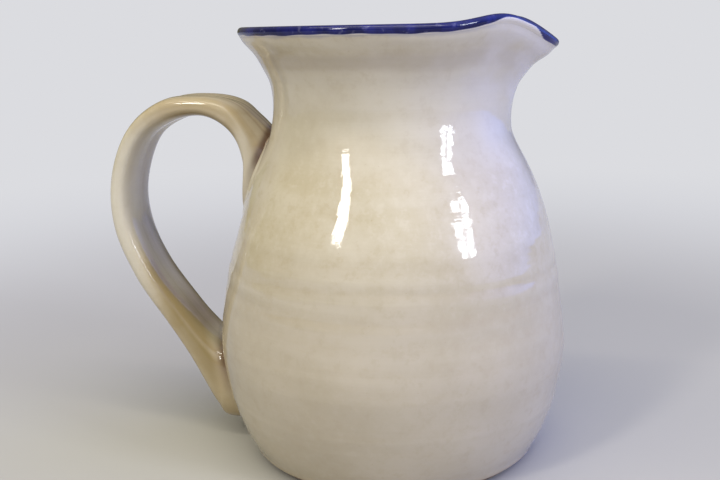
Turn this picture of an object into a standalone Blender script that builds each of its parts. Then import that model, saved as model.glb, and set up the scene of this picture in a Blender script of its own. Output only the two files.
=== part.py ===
"""Hand-thrown ceramic pitcher with a pinched spout and a pulled strap handle.

The model is the set of pieces that a potter puts together: the thrown clay body, the pulled strap, the
two layers of slip that join them, and the glaze coats.  Everything is fired together, so nothing moves.

Lengths are in millimetres until points are made, and the objects are in metres with +Z up.  The origin is
the centre of the foot's underside.  The handle is on the -X side and the spout on the +X side.
"""

from math import cos, exp, pi, radians, sin

import bmesh
import bpy
from mathutils import Vector

MM = 0.001

# The pot's outside, glaze included: (height, radius), turned about Z.
WALL_STATIONS = (
    (0.0, 61.8),
    (14.0, 68.9),
    (30.0, 73.7),
    (50.0, 76.2),
    (72.0, 73.8),
    (100.0, 69.0),
    (124.0, 60.6),
    (140.0, 52.2),
    (152.0, 50.0),
    (164.0, 51.5),
    (174.0, 57.3),
    (182.7, 63.3),
)
RIM_HEIGHT = WALL_STATIONS[-1][0]

# Wall thickness, glaze included, from the floor to the lip, which is rounded over.
WALL_AT_FOOT = 6.6
WALL_AT_LIP = 3.8
LIP_RADIUS = WALL_AT_LIP / 2

# Pinched spout: the lip is pushed out and down at the tip and rises on both sides of it.
SPOUT_ROOT = 142.0
SPOUT_REACH = 6.4
SPOUT_HALF_WIDTH = 21.5
TIP_DIP = 6.8
TIP_DIP_WIDTH = 18.8
SHOULDER_RISE = 3.5
SHOULDER_AT = 36.3
SHOULDER_WIDTH = 15.7

# The wall is pressed in a little where the strap's upper end was pushed on.
DENT = 2.2
DENT_HEIGHT = 104.0
DENT_TALL = 20.0
DENT_WIDTH = 42.0

# Between spout and handle the shoulder is pressed a little flatter and the waist is left fuller.
FLAT_SHOULDER = 2.4
FLAT_SHOULDER_HEIGHT = 128.3
FLAT_SHOULDER_TALL = 23.2
FULL_WAIST = 1.75
FULL_WAIST_HEIGHT = 140.8
FULL_WAIST_TALL = 9.75

# The underside is flat, cut from the wheel with a wire, and its outer edge is bevelled.
FOOT_BEVEL = 1.2

# Inside, the wall turns into the floor with this radius.
FLOOR_CORNER_START = 14.0
FLOOR_CORNER_RADIUS = 12.0

# Glaze coats, and the clearance kept between touching pieces.
GLAZE = 0.6
GAP = 0.3
CLAY_DEPTH = GLAZE + GAP
GLAZE_START = 2.4
BAND_INSIDE = 5.0
BAND_GAP = 0.5

# Pulled strap from the neck to the belly, glaze included, as sections in the XZ plane:
# (outer x, outer z, inner x, inner z, half width).
STRAP_SECTIONS = (
    (-34.0, 131.0, -50.0, 96.0, 16.0),
    (-50.5, 141.0, -64.5, 104.0, 16.0),
    (-58.7, 148.2, -63.8, 126.0, 15.5),
    (-68.2, 154.6, -68.8, 140.0, 15.0),
    (-83.0, 157.2, -81.5, 147.7, 14.7),
    (-101.3, 155.2, -97.0, 145.4, 14.5),
    (-118.2, 142.0, -109.9, 136.3, 14.5),
    (-127.6, 119.0, -117.5, 117.2, 14.5),
    (-127.3, 96.0, -117.3, 98.6, 14.5),
    (-118.4, 73.8, -108.8, 79.0, 14.5),
    (-104.4, 52.8, -94.8, 60.0, 14.5),
    (-95.2, 38.5, -85.8, 49.4, 15.0),
    (-87.5, 24.5, -78.3, 43.0, 16.0),
    (-80.6, 12.5, -74.0, 44.5, 16.5),
    (-75.3, 7.2, -69.5, 46.5, 17.0),
    (-58.0, 7.2, -56.0, 52.0, 17.0),
)
STRAP_CORNER_POWER = 3.0
STRAP_GROOVE = 0.7

# Towards the neck the strap is crowned: its outer edges are smeared down on to the wall.
STRAP_CROWN = 6.5
STRAP_CROWN_END = 0.235
STRAP_CROWN_LENGTH = 0.125

# Slip joints: the slip is squeezed out past the strap, and its two faces lie below and above the glaze.
SLIP_SQUEEZE = 1.0
SLIP_ABOVE_GLAZE = 0.4
STRAP_CLEARANCE = SLIP_ABOVE_GLAZE + GAP

# Mesh density.
SPOUT_STEP = 8
PLAIN_STEP = 12
SPOUT_SECTOR = 48
LOWER_ROWS = 11
UPPER_ROWS = 7
UPPER_ROWS_START = 132.0
LIP_STEPS = 4
CORNER_STEPS = 3
STRAP_STEPS = 27
STRAP_SIDES = 12


def smooth_curve(knots, values, at):
    """Cubic curve through the values at the knots, with slopes taken from the neighbouring knots."""
    last = len(knots) - 1
    k = 0
    while k < last - 1 and at > knots[k + 1]:
        k += 1

    def slope(i):
        before = max(i - 1, 0)
        after = min(i + 1, last)
        return (values[after] - values[before]) / (knots[after] - knots[before])

    span = knots[k + 1] - knots[k]
    s = (at - knots[k]) / span
    rise = values[k + 1] - values[k]
    start = slope(k) * span
    end = slope(k + 1) * span
    return values[k] + s * (start + s * (3 * rise - 2 * start - end + s * (start + end - 2 * rise)))


def bump(angle, width):
    return exp(-((angle / width) ** 2))


def fade(value, start, end):
    """Smooth step from 0 at start to 1 at end."""
    s = min(max((value - start) / (end - start), 0.0), 1.0)
    return s * s * (3 - 2 * s)


def skin(turn, height):
    """Point on the pot's outside at a turn in degrees from the spout and at a height of the plain wall."""
    radius = smooth_curve(*zip(*WALL_STATIONS), height)
    pull = max(height - SPOUT_ROOT, 0.0) / (RIM_HEIGHT - SPOUT_ROOT)
    side = abs(turn)
    radius += SPOUT_REACH * pull * bump(side, SPOUT_HALF_WIDTH)
    radius -= DENT * bump(180.0 - side, DENT_WIDTH) * bump(height - DENT_HEIGHT, DENT_TALL)
    pressed = FULL_WAIST * bump(height - FULL_WAIST_HEIGHT, FULL_WAIST_TALL)
    pressed -= FLAT_SHOULDER * bump(height - FLAT_SHOULDER_HEIGHT, FLAT_SHOULDER_TALL)
    radius += pressed * fade(side, 15.0, 50.0) * fade(180.0 - side, 5.0, 45.0)
    rise = SHOULDER_RISE * bump(side - SHOULDER_AT, SHOULDER_WIDTH) - TIP_DIP * bump(side, TIP_DIP_WIDTH)
    lift = rise * pull * pull
    angle = radians(turn)
    return Vector((radius * cos(angle), radius * sin(angle), height + lift))


def skin_directions(turn, height):
    """Unit vectors at a skin point: straight out of the wall, and up along it."""
    step = 0.05
    up = skin(turn, min(height + step, RIM_HEIGHT)) - skin(turn, max(height - step, 0.0))
    around = skin(turn + step, height) - skin(turn - step, height)
    return around.cross(up).normalized(), up.normalized()


def outside(turn, height, depth):
    """Point below the pot's outside."""
    out, _ = skin_directions(turn, height)
    return skin(turn, height) - out * depth


def lip(turn, roll, depth):
    """Point below the rounded lip, from roll 0 at its outer side to 180 at its inner side."""
    out, up = skin_directions(turn, RIM_HEIGHT)
    centre = skin(turn, RIM_HEIGHT) - out * LIP_RADIUS
    angle = radians(roll)
    return centre + (out * cos(angle) + up * sin(angle)) * (LIP_RADIUS - depth)


def inside(turn, height, depth):
    """Point below the pot's inside, counted into the wall."""
    wall = WALL_AT_FOOT + (WALL_AT_LIP - WALL_AT_FOOT) * height / RIM_HEIGHT
    return outside(turn, height, wall - depth)


def floor_corner(turn, share, depth):
    """Point below the round corner between the inner wall (share 0) and the floor (share 1)."""
    out, _ = skin_directions(turn, FLOOR_CORNER_START)
    centre = inside(turn, FLOOR_CORNER_START, 0.0) - out * FLOOR_CORNER_RADIUS
    flat = Vector((out.x, out.y, 0.0))
    lean = flat.angle(out)
    angle = lean + share * (pi / 2 - lean)
    direction = flat.normalized() * cos(angle) - Vector((0.0, 0.0, sin(angle)))
    return centre + direction * (FLOOR_CORNER_RADIUS + depth)


def turns():
    """Columns around the pot in degrees, closer together at the spout."""
    spout = range(-SPOUT_SECTOR, SPOUT_SECTOR, SPOUT_STEP)
    plain = range(SPOUT_SECTOR, 360 - SPOUT_SECTOR, PLAIN_STEP)
    return [turn if turn <= 180 else turn - 360 for turn in (*spout, *plain)]


def levels():
    """Rows up the wall, closer together at the neck and the rim; the last but one is the band's edge."""
    lower = [
        GLAZE_START + (UPPER_ROWS_START - GLAZE_START) * k / LOWER_ROWS
        for k in range(LOWER_ROWS)
    ]
    top = RIM_HEIGHT - BAND_INSIDE
    upper = [
        UPPER_ROWS_START + (top - UPPER_ROWS_START) * k / UPPER_ROWS
        for k in range(UPPER_ROWS + 1)
    ]
    return lower + upper + [RIM_HEIGHT]


def ring(place, *where):
    """One ring of points around the pot, from a function of the turn."""
    return [place(turn, *where) * MM for turn in turns()]


def flat_ring(radius, height):
    return [
        Vector((radius * cos(radians(turn)), radius * sin(radians(turn)), height)) * MM
        for turn in turns()
    ]


def floor_centre(depth):
    return Vector((0.0, 0.0, floor_corner(0, 1.0, depth).z)) * MM


def split_quad(mesh, a, b, c, d):
    """Two triangles for the quad a, b, c, d, across its shorter diagonal."""
    if (a.co - c.co).length <= (b.co - d.co).length:
        corners = ((a, b, c), (a, c, d))
    else:
        corners = ((a, b, d), (b, c, d))
    for corner in corners:
        mesh.faces.new(corner)


def cap(mesh, loop, pole):
    tip = mesh.verts.new(pole)
    for k, vert in enumerate(loop):
        mesh.faces.new((vert, loop[k - 1], tip))


def ring_body(name, rings, poles=None):
    """Closed body over rings of points: capped at two poles, or with its last ring joined to its first."""
    mesh = bmesh.new()
    loops = [[mesh.verts.new(point) for point in points] for points in rings]
    pairs = list(zip(loops, loops[1:]))
    if poles:
        cap(mesh, loops[0], poles[0])
        cap(mesh, loops[-1], poles[1])
    else:
        pairs.append((loops[-1], loops[0]))
    for low, high in pairs:
        for k in range(len(low)):
            split_quad(mesh, low[k - 1], low[k], high[k], high[k - 1])
    bmesh.ops.recalc_face_normals(mesh, faces=mesh.faces)
    data = bpy.data.meshes.new(name)
    mesh.to_mesh(data)
    mesh.free()
    data.shade_smooth()
    data.set_sharp_from_angle(angle=radians(40))
    piece = bpy.data.objects.new(name, data)
    bpy.context.scene.collection.objects.link(piece)
    return piece


def finish(piece, colour, roughness):
    material = bpy.data.materials.new(piece.name)
    material.use_nodes = True
    shader = material.node_tree.nodes["Principled BSDF"]
    shader.inputs["Base Color"].default_value = (*colour, 1.0)
    shader.inputs["Roughness"].default_value = roughness
    shader.inputs["Metallic"].default_value = 0.0
    piece.data.materials.append(material)


def cut(piece, cutter, operation="DIFFERENCE"):
    modifier = piece.modifiers.new(cutter.name, "BOOLEAN")
    modifier.operation = operation
    modifier.solver = "EXACT"
    modifier.object = cutter


def as_cutter(piece):
    piece.hide_render = True
    piece.display_type = "WIRE"
    return piece


def clay_body():
    """Floor, foot, wall and lip as one piece of thrown clay."""
    rows = levels()
    foot_outer = outside(90, 0.0, CLAY_DEPTH).xy.length
    rings = [flat_ring(foot_outer - FOOT_BEVEL, 0.0), ring(outside, FOOT_BEVEL, CLAY_DEPTH)]
    rings += [ring(outside, row, CLAY_DEPTH) for row in rows]
    rings += [ring(lip, 180 * k / LIP_STEPS, CLAY_DEPTH) for k in range(1, LIP_STEPS + 1)]
    rings += [ring(inside, row, CLAY_DEPTH) for row in reversed(rows[:-1]) if row > FLOOR_CORNER_START]
    rings += [ring(floor_corner, k / CORNER_STEPS, CLAY_DEPTH) for k in range(CORNER_STEPS + 1)]
    poles = (Vector((0.0, 0.0, 0.0)), floor_centre(CLAY_DEPTH))
    return ring_body("clay_body", rings, poles)


def body_glaze(openings):
    """Outer coat from just above the foot to the blue band, open where the slip joints are."""
    rows = levels()[:-1] + [RIM_HEIGHT - BAND_GAP]
    rings = [ring(outside, row, 0.0) for row in rows]
    rings += [ring(outside, row, GLAZE) for row in reversed(rows)]
    piece = ring_body("body_glaze", rings)
    for opening in openings:
        cut(piece, opening)
    return piece


def liner_glaze():
    """Inner coat over the floor and the wall, up to the band's inner edge."""
    rows = [row for row in levels()[:-2] if row > FLOOR_CORNER_START]
    rows.append(RIM_HEIGHT - BAND_INSIDE - BAND_GAP)
    rings = []
    for depth, rising in ((GLAZE, True), (0.0, False)):
        corner = [ring(floor_corner, k / CORNER_STEPS, depth) for k in range(CORNER_STEPS, -1, -1)]
        wall = [ring(inside, row, depth) for row in rows]
        coat = corner + wall
        rings += coat if rising else reversed(coat)
    return ring_body("liner_glaze", rings, (floor_centre(GLAZE), floor_centre(0.0)))


def rim_band():
    """Blue coat over the lip and a little way down the inside."""
    edge = RIM_HEIGHT - BAND_INSIDE
    rolls = [180 * k / LIP_STEPS for k in range(LIP_STEPS + 1)]
    rings = [ring(lip, roll, 0.0) for roll in rolls]
    rings.append(ring(inside, edge, 0.0))
    rings.append(ring(inside, edge, GLAZE))
    rings += [ring(lip, roll, GLAZE) for roll in reversed(rolls)]
    return ring_body("rim_band", rings)


def pot_cutter(name, grow):
    """Filled copy of the pot's outside, grown by a distance."""
    rings = [ring(outside, row, -grow) for row in [0.0] + levels()]
    poles = (Vector((0.0, 0.0, 0.0)), Vector((0.0, 0.0, RIM_HEIGHT)) * MM)
    return as_cutter(ring_body(name, rings, poles))


def strap_section(share, grow):
    """Rounded section of the strap at a share of its length, grown by a distance."""
    knots = range(len(STRAP_SECTIONS))
    at = share * (len(STRAP_SECTIONS) - 1)
    outer_x, outer_z, inner_x, inner_z, half_width = (
        smooth_curve(knots, values, at) for values in zip(*STRAP_SECTIONS)
    )
    centre = Vector((outer_x + inner_x, 0.0, outer_z + inner_z)) / 2
    across = Vector((outer_x - inner_x, 0.0, outer_z - inner_z)) / 2
    half_thick = across.length
    across.normalize()
    crown = STRAP_CROWN * fade(STRAP_CROWN_END - share, 0.0, STRAP_CROWN_LENGTH)
    points = []
    for k in range(STRAP_SIDES):
        angle = 2 * pi * k / STRAP_SIDES
        c = cos(angle)
        s = sin(angle)
        wide = abs(c) ** (2 / STRAP_CORNER_POWER) * (1 if c > 0 else -1)
        thick = abs(s) ** (2 / STRAP_CORNER_POWER) * (1 if s > 0 else -1)
        sideways = Vector((0.0, wide * (half_width + grow), 0.0))
        reach = thick * (half_thick + grow - STRAP_GROOVE * bump(wide, 0.35))
        reach -= crown * wide * wide * max(thick, 0.0)
        points.append((centre + sideways + across * reach) * MM)
    return points


def strap_shares(start=0.0, end=1.0):
    return [k / STRAP_STEPS for k in range(STRAP_STEPS + 1) if start <= k / STRAP_STEPS <= end]


def strap_solid(name, grow, start=0.0, end=1.0):
    """Solid stretch of the strap between two shares of its length."""
    rings = [strap_section(share, grow) for share in strap_shares(start, end)]
    poles = [sum(points, Vector()) / len(points) for points in (rings[0], rings[-1])]
    return ring_body(name, rings, poles)


def handle_glaze(pot):
    """Coat around the strap, open at both ends."""
    shares = strap_shares()
    rings = [strap_section(share, 0.0) for share in shares]
    rings += [strap_section(share, -GLAZE) for share in reversed(shares)]
    piece = ring_body("handle_glaze", rings)
    cut(piece, pot)
    return piece


def slip_joint(name, start, end, above, below):
    """Layer of slip between the clay wall and one end of the strap."""
    piece = strap_solid(name, SLIP_SQUEEZE, start, end)
    cut(piece, above, "INTERSECT")
    cut(piece, below)
    return piece


def build():
    for item in list(bpy.data.objects):
        bpy.data.objects.remove(item)

    upper_end = (0.0, 0.28)
    lower_end = (0.7, 1.0)
    opening_size = SLIP_SQUEEZE + GAP
    openings = [
        as_cutter(strap_solid("upper_opening_cutter", opening_size, *upper_end)),
        as_cutter(strap_solid("lower_opening_cutter", opening_size, *lower_end)),
    ]
    strap_end = pot_cutter("strap_end_cutter", STRAP_CLEARANCE)
    slip_top = pot_cutter("slip_top_cutter", SLIP_ABOVE_GLAZE)
    slip_bed = pot_cutter("slip_bed_cutter", -GLAZE)

    bare_clay = (0.30, 0.19, 0.12)
    wet_slip = (0.44, 0.33, 0.23)
    cream = (0.62, 0.54, 0.44)
    liner_cream = (0.64, 0.57, 0.47)
    cobalt = (0.020, 0.021, 0.130)

    finish(clay_body(), bare_clay, 0.85)
    handle = strap_solid("handle", -CLAY_DEPTH)
    cut(handle, strap_end)
    finish(handle, bare_clay, 0.85)
    finish(slip_joint("upper_slip_joint", *upper_end, slip_top, slip_bed), wet_slip, 0.8)
    finish(slip_joint("lower_slip_joint", *lower_end, slip_top, slip_bed), wet_slip, 0.8)
    finish(body_glaze(openings), cream, 0.12)
    finish(handle_glaze(strap_end), cream, 0.12)
    finish(liner_glaze(), liner_cream, 0.12)
    finish(rim_band(), cobalt, 0.1)


build()
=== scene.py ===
"""Looks of the hand-thrown ceramic pitcher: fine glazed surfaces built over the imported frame.

Lengths are in millimetres until points become meshes, which are in metres in the frame's axes: +Z up, the
spout on the +X side and the handle on the -X side.  Turns are degrees about Z, counted from the spout.
"""

import bpy
import numpy as np
from mathutils import Matrix, Vector


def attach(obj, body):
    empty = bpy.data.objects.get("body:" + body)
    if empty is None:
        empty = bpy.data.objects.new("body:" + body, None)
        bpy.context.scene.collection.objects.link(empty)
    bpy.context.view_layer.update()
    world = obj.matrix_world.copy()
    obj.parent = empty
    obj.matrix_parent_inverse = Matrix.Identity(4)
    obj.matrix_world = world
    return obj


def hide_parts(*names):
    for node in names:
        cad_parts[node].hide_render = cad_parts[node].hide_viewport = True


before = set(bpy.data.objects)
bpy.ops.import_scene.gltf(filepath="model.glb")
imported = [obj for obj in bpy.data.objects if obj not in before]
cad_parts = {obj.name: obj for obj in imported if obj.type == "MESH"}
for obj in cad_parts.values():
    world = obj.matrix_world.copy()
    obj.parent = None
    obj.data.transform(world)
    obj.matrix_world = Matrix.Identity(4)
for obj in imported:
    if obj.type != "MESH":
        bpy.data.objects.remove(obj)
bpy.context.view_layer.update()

MM = 0.001

# ---------------------------------------------------------------- the pot's shape, as in the frame

WALL_STATIONS = (
    (0.0, 61.8),
    (14.0, 68.9),
    (30.0, 73.7),
    (50.0, 76.2),
    (72.0, 73.8),
    (100.0, 69.0),
    (124.0, 60.6),
    (140.0, 52.2),
    (152.0, 50.0),
    (164.0, 51.5),
    (174.0, 57.3),
    (182.7, 63.3),
)
RIM_HEIGHT = WALL_STATIONS[-1][0]
WALL_AT_FOOT = 6.6
WALL_AT_LIP = 3.8
LIP_RADIUS = WALL_AT_LIP / 2

# The pinched spout: where it leaves the neck, and how the lip rises beside it and dips at its tip.
SPOUT_ROOT = 142.0
SPOUT_REACH = 6.4
SPOUT_HALF_WIDTH = 21.5
TIP_DIP = 6.8
TIP_DIP_WIDTH = 18.8
SHOULDER_RISE = 3.5
SHOULDER_AT = 36.3
SHOULDER_WIDTH = 15.7

# The wall is a little flat behind the handle.
DENT = 2.2
DENT_HEIGHT = 104.0
DENT_TALL = 20.0
DENT_WIDTH = 42.0

# Between spout and handle the shoulder is pressed a little flatter and the waist is left fuller.
FLAT_SHOULDER = 2.4
FLAT_SHOULDER_HEIGHT = 128.3
FLAT_SHOULDER_TALL = 23.2
FULL_WAIST = 1.75
FULL_WAIST_HEIGHT = 140.8
FULL_WAIST_TALL = 9.75

FOOT_BEVEL = 1.2
FLOOR_CORNER_START = 14.0
FLOOR_CORNER_RADIUS = 12.0

GLAZE = 0.6
CLAY_DEPTH = 0.9
GLAZE_START = 2.4
HIDDEN_FACE = 0.75
BAND_INSIDE = 5.0
BAND_GAP = 0.5

# Sections of the strap from the neck to the belly: outer x and z, inner x and z, half width.
STRAP_SECTIONS = (
    (-34.0, 131.0, -50.0, 96.0, 16.0),
    (-50.5, 141.0, -64.5, 104.0, 16.0),
    (-58.7, 148.2, -63.8, 126.0, 15.5),
    (-68.2, 154.6, -68.8, 140.0, 15.0),
    (-83.0, 157.2, -81.5, 147.7, 14.7),
    (-101.3, 155.2, -97.0, 145.4, 14.5),
    (-118.2, 142.0, -109.9, 136.3, 14.5),
    (-127.6, 119.0, -117.5, 117.2, 14.5),
    (-127.3, 96.0, -117.3, 98.6, 14.5),
    (-118.4, 73.8, -108.8, 79.0, 14.5),
    (-104.4, 52.8, -94.8, 60.0, 14.5),
    (-95.2, 38.5, -85.8, 49.4, 15.0),
    (-87.5, 24.5, -78.3, 43.0, 16.0),
    (-80.6, 12.5, -74.0, 44.5, 16.5),
    (-75.3, 7.2, -69.5, 46.5, 17.0),
    (-58.0, 7.2, -56.0, 52.0, 17.0),
)
STRAP_CORNER_POWER = 3.0
STRAP_HALF_WIDTH = 14.5
STRAP_HALF_THICKNESS = 5.2
STRAP_GROOVE = 0.7
STRAP_GROOVE_WIDTH = 0.35

# Towards the neck the strap is crowned: its outer edges are smeared down on to the wall.
STRAP_CROWN = 6.5
STRAP_CROWN_END = 0.235
STRAP_CROWN_LENGTH = 0.125

# ---------------------------------------------------------------- marks of the hand

# Ridges left by the fingers on the outside: (height, size, width).
THROWING_RIDGES = (
    (22.0, 0.05, 2.4),
    (28.0, 0.09, 2.4),
    (38.0, -0.05, 3.0),
    (45.0, 0.05, 2.6),
    (52.3, 0.06, 2.6),
    (62.0, 0.06, 3.2),
    (71.8, 0.07, 2.4),
    (76.0, -0.11, 2.2),
    (82.0, 0.14, 2.4),
    (86.3, -0.09, 1.8),
    (90.0, 0.07, 2.0),
    (95.6, -0.06, 2.4),
    (101.0, 0.05, 2.6),
    (112.0, 0.04, 3.2),
    (119.5, 0.09, 3.5),
    (126.5, -0.09, 3.5),
    (143.5, 0.05, 2.8),
    (158.5, 0.06, 3.0),
    (166.0, 0.20, 3.2),
    (172.5, -0.35, 3.4),
    (179.0, 0.30, 3.0),
)
RIDGE_SLANT = 0.9
SMOOTH_BELOW_RIM = 3.0

# Slow unevenness of the wall: (size, waves around the pot, turn per mm of height, phase).
WALL_WAVES = (
    (0.16, 3, 0.050, 0.4),
    (0.10, 5, -0.085, 2.1),
    (0.10, 9, 0.170, 1.0),
    (0.03, 17, -0.110, 2.6),
    (0.03, 2, -0.210, 1.0),
)

LINER_SPIRAL_PITCH = 8.5
LINER_SPIRAL_SIZE = 0.35
LINER_SPIRAL_ENDS_BELOW_RIM = (4.0, 30.0)

# Arcs left underneath by the cutting wire, around a point beside the pot.
WIRE_MARK_PITCH = 4.2
WIRE_MARK_SIZE = 0.22
WIRE_MARK_CENTRE = (95.0, -20.0)

# The rolled lower edge of the outer glaze: sink below the surface, row by row, and the swell above it.
GLAZE_EDGE_SINKS = (0.55, 0.28, 0.08, 0.0)
GLAZE_EDGE_HEIGHT = 0.6
GLAZE_BEAD = 0.3
GLAZE_BEAD_ABOVE = 1.6
GLAZE_BEAD_WIDTH = 1.3
SPOUT_GLAZE_WIDTH = 62.0

# The blue on the lip: shares of its overlap over the cream with their sinks, and where it is wiped thin.
BAND_OVERLAP = 0.8
BAND_SKIRT = ((1.0, 0.10), (0.85, 0.0), (0.6, -0.02), (0.3, -0.02), (0.0, 0.0))
COAT_START = -8.0
COAT_EDGE = 9.0
WIPED = 62.0
WIPED_FROM = 14.0
WIPED_TO = 44.0
WIPED_EDGE = 8.0

# Fine lines along the strap: (share, lines across, drift along the strap, phase), and their depth.
PULLING_LINES = ((0.6, 25.0, 3.0, 0.0), (0.4, 41.0, -4.0, 1.0))
LINE_DEPTH_INSIDE = 0.02
LINE_DEPTH_OUTSIDE = 0.11
INNER_GROOVE_SHARE = 0.6
STRAP_UNEVEN = 0.14
STRAP_UNEVEN_FINE = 0.04

# Where the strap meets the wall: a crease, then a pad that thins out over the wall.
SEAM_START = 1.2
SEAM_SEARCH = {"upper": (0.005, 0.33), "lower": (0.995, 0.68)}
SEAM_SEARCH_STEPS = 500
SEAM_LAST_ROWS = (0.35, 0.7)
SEAM_CREASE = 0.30
SEAM_EDGE_SINK = 0.12
SEAM_SHARES = (0.0, 0.05, 0.12, 0.22, 0.35, 0.5, 0.65, 0.8, 0.9, 1.0)

# Tone of each row of the seam, from the strap outwards: pooled brown with painted shade above zero, pale
# below it.
SEAM_TONE = (0.80, 0.95, 1.0, 1.0, 1.0, 0.7, 0.1, -0.5, -0.8, -0.6, 0.0, 0.0)

# Each pad: its reach and what its widest part adds, then its height and what its widest part adds.
UPPER_PAD = (3.2, 3.0, 0.15, 0.60)
LOWER_PAD = (2.6, 1.6, 0.10, 0.15)

# Brown pooled glaze and painted shade close to the crease, within a distance at its upper and lower end.
CREASE_BROWN_AND_SHADE = 0.8
BROWN_AND_SHADE_ABOVE = 2.6
BROWN_AND_SHADE_BELOW = 4.5
STRAP_SUNK = 0.5

# ---------------------------------------------------------------- mesh density

# Counts, but for the radius of the innermost ring in mm.
INNERMOST_RING = 1.5
COLUMNS = 288
WALL_ROWS = 300
HIDDEN_ROWS = 24
LIP_ROLLS = 30
BAND_INNER_ROWS = 10
FLOOR_ROWS = 40
CORNER_ROWS = 14
LINER_ROWS = 150
UNDER_ROWS = 60
CLAY_ROWS = 70
CLAY_INSIDE_ROWS = 40
STRAP_ROWS = 240
STRAP_HIDDEN_ROWS = 60
STRAP_SIDES = 144
STRAP_CLAY_ROWS = 120
STRAP_CLAY_SKIP = 3
FINE_ANGLES = 20001


# ================================================================ shape functions


def smooth_curve(knots, values, at):
    """Cubic curve through the values at the knots, with slopes taken from the neighbouring knots."""
    knots = np.asarray(knots, float)
    values = np.asarray(values, float)
    last = len(knots) - 1
    k = np.clip(np.searchsorted(knots, at, side="left") - 1, 0, last - 1)
    before = np.maximum(np.arange(last + 1) - 1, 0)
    after = np.minimum(np.arange(last + 1) + 1, last)
    slopes = (values[after] - values[before]) / (knots[after] - knots[before])
    span = knots[k + 1] - knots[k]
    s = (at - knots[k]) / span
    rise = values[k + 1] - values[k]
    start = slopes[k] * span
    end = slopes[k + 1] * span
    return values[k] + s * (start + s * (3 * rise - 2 * start - end + s * (start + end - 2 * rise)))


def bump(value, width):
    """Bell curve: 1 at value 0, fading within the width."""
    return np.exp(-((value / width) ** 2))


def fade(value, start, end):
    """Smooth step from 0 at start to 1 at end."""
    s = np.clip((value - start) / (end - start), 0.0, 1.0)
    return s * s * (3 - 2 * s)


def ridges(turn, height):
    """Height in mm of the throwing ridges, which climb a little around the pot and vary along it."""
    angle = np.radians(turn)
    slanted = height + RIDGE_SLANT * np.sin(angle + 0.6)
    total = np.zeros(np.broadcast(turn, height).shape)
    for number, (at, size, width) in enumerate(THROWING_RIDGES):
        strength = 1 + 0.35 * np.sin(2 * angle + 1.7 * number) + 0.2 * np.sin(5 * angle + 2.3 * number)
        total += size * strength * bump(slanted - at + 0.5 * np.sin(3 * angle + number), width)
    return total


def wobble(turn, height):
    """Slow unevenness of the wall in mm."""
    angle = np.radians(turn)
    return sum(
        size * np.sin(waves * angle + climb * height + phase)
        for size, waves, climb, phase in WALL_WAVES
    )


def plain_skin(turn, height):
    """Points on the pot's outside without the marks of the hand."""
    turn, height = np.broadcast_arrays(np.asarray(turn, float), np.asarray(height, float))
    knots, radii = zip(*WALL_STATIONS)
    radius = smooth_curve(knots, radii, height)
    side = np.abs((turn + 180.0) % 360.0 - 180.0)
    pull = np.maximum(height - SPOUT_ROOT, 0.0) / (RIM_HEIGHT - SPOUT_ROOT)
    radius = radius + SPOUT_REACH * pull * bump(side, SPOUT_HALF_WIDTH)
    radius -= DENT * bump(180.0 - side, DENT_WIDTH) * bump(height - DENT_HEIGHT, DENT_TALL)
    pressed = FULL_WAIST * bump(height - FULL_WAIST_HEIGHT, FULL_WAIST_TALL)
    pressed -= FLAT_SHOULDER * bump(height - FLAT_SHOULDER_HEIGHT, FLAT_SHOULDER_TALL)
    radius += pressed * fade(side, 15.0, 50.0) * fade(180.0 - side, 5.0, 45.0)
    rise = SHOULDER_RISE * bump(side - SHOULDER_AT, SHOULDER_WIDTH) - TIP_DIP * bump(side, TIP_DIP_WIDTH)
    angle = np.radians(turn)
    return np.stack(
        [radius * np.cos(angle), radius * np.sin(angle), height + rise * pull * pull], axis=-1
    )


def unit(vectors):
    return vectors / np.linalg.norm(vectors, axis=-1, keepdims=True)


def directions(turn, height):
    """Unit vectors at plain skin points: straight out of the wall, and up along it."""
    step = 0.05
    up = plain_skin(turn, np.minimum(height + step, RIM_HEIGHT))
    up = up - plain_skin(turn, np.maximum(height - step, 0.0))
    around = plain_skin(turn + step, height) - plain_skin(turn - step, height)
    return unit(np.cross(around, up)), unit(up)


def outside(turn, height, depth=0.0, ridged=1.0):
    """Points below the pot's outside; ridged is the share of the throwing ridges that they keep."""
    out, _ = directions(turn, height)
    marks = ridged * ridges(turn, height) + wobble(turn, height)
    marks = marks * fade(RIM_HEIGHT - height, 0.0, SMOOTH_BELOW_RIM)
    return plain_skin(turn, height) + out * (marks - depth)[..., None]


def lip(turn, roll, depth=0.0):
    """Points below the rounded lip, from roll 0 at its outer side to 180 at its inner side."""
    out, up = directions(turn, np.full(np.shape(turn), RIM_HEIGHT))
    centre = plain_skin(turn, RIM_HEIGHT) - out * LIP_RADIUS
    angle = np.radians(roll)
    return centre + (out * np.cos(angle) + up * np.sin(angle)) * (LIP_RADIUS - depth)


def inside(turn, height, depth=0.0, marked=1.0):
    """Points below the pot's inside, counted into the wall, with the spiral that the fingers leave."""
    wall = WALL_AT_FOOT + (WALL_AT_LIP - WALL_AT_FOOT) * height / RIM_HEIGHT
    out, _ = directions(turn, height)
    spiral = np.sin(2 * np.pi * (height / LINER_SPIRAL_PITCH - turn / 360.0))
    spiral *= LINER_SPIRAL_SIZE * fade(RIM_HEIGHT - height, *LINER_SPIRAL_ENDS_BELOW_RIM) * marked
    return plain_skin(turn, height) - out * (wall - depth + spiral * 0.5)[..., None]


def floor_corner(turn, share, depth=0.0):
    """Points below the round corner between the inner wall (share 0) and the floor (share 1)."""
    start = np.full(np.shape(turn), FLOOR_CORNER_START)
    out, _ = directions(turn, start)
    centre = inside(turn, start, 0.0, 0.0) - out * FLOOR_CORNER_RADIUS
    flat = out * np.array([1.0, 1.0, 0.0])
    lean = np.arcsin(-out[..., 2])
    angle = lean + share * (np.pi / 2 - lean)
    down = np.array([0.0, 0.0, 1.0])
    direction = unit(flat) * np.cos(angle)[..., None] - down * np.sin(angle)[..., None]
    return centre + direction * (FLOOR_CORNER_RADIUS + depth)


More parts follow.
